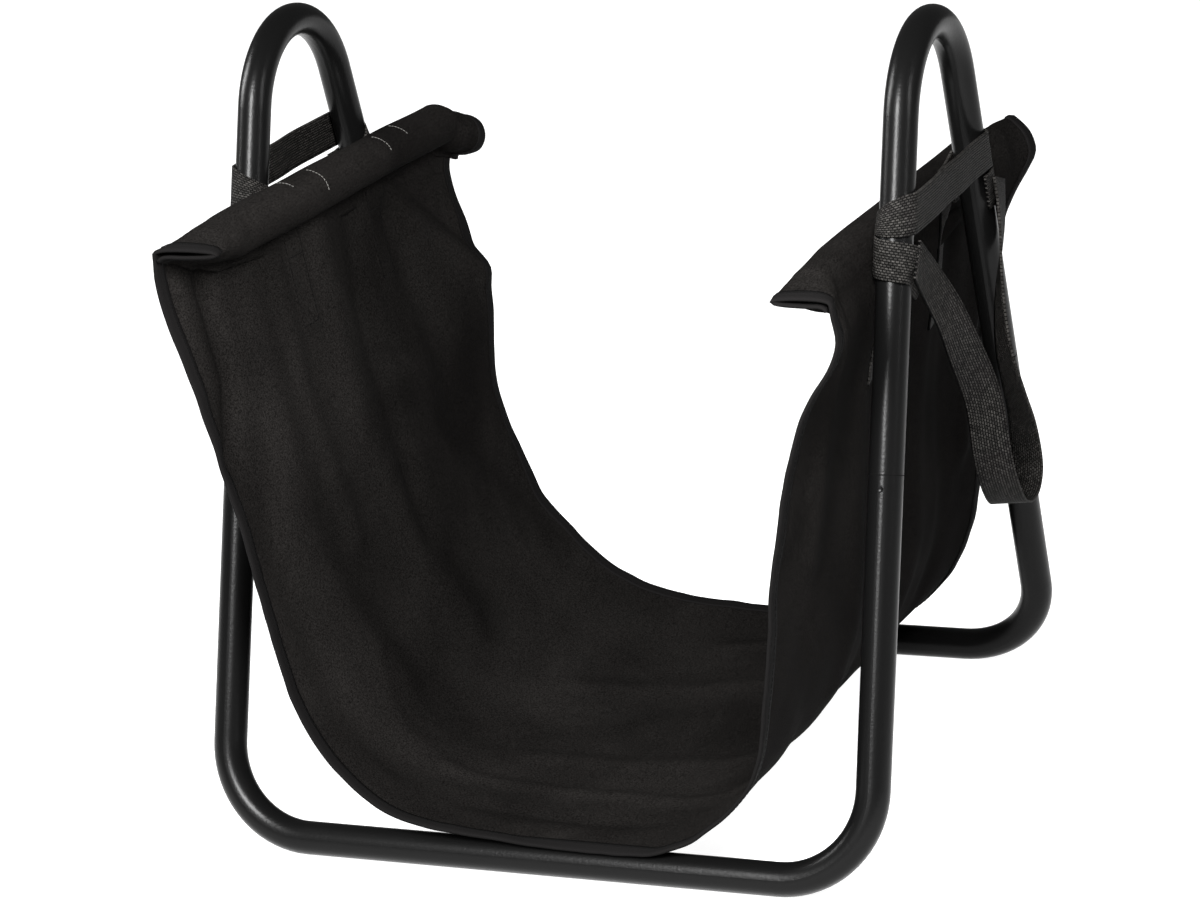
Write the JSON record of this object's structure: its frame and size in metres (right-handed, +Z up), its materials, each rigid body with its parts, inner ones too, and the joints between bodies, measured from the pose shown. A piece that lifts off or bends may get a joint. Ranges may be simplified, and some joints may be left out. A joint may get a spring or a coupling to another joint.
{
  "type": "firewood log rack",
  "caption": "Free-standing tubular log rack with leaning legs and rounded arches at each side, holding a lift-out fabric sling with webbing straps and carry handles.",
  "frame": {"origin": "on the floor, under the middle of the rack", "axes": "+Z up, +X to the right across the width from left arch to right arch, -Y towards the front rail"},
  "size_m": [0.5048, 0.438, 0.52],
  "materials": {
    "powder_coat": "satin",
    "cloth": "matte",
    "binding": "matte",
    "webbing": "matte",
    "rod": "matte"
  },
  "bodies": {
    "frame": {"front_lower_frame": "powder_coat", "back_lower_frame": "powder_coat", "left_arch": "powder_coat", "right_arch": "powder_coat"},
    "carrier": {"sling_panel": "cloth", "front_edge_binding": "binding", "back_edge_binding": "binding", "left_rod": "rod", "right_rod": "rod", "left_hanging_strap": "webbing", "right_hanging_strap": "webbing", "left_handle_root": "webbing", "right_handle_root": "webbing"},
    "left_handle": {"left_carry_handle": "webbing"},
    "right_handle": {"right_carry_handle": "webbing"}
  },
  "joints": [
    {"name": "carrier_lift", "type": "slide", "parent": "frame", "child": "carrier", "axis": [0, 0, 1], "range_m": [0, 0.52]},
    {"name": "left_handle_swing", "type": "hinge", "parent": "carrier", "child": "left_handle", "pos_m": [-0.23676, 0, 0.4035], "axis": [0, 1, 0], "range_deg": [0, 165]},
    {"name": "right_handle_swing", "type": "hinge", "parent": "carrier", "child": "right_handle", "pos_m": [0.23676, 0, 0.3955], "axis": [0, -1, 0], "range_deg": [0, 165]}
  ]
}
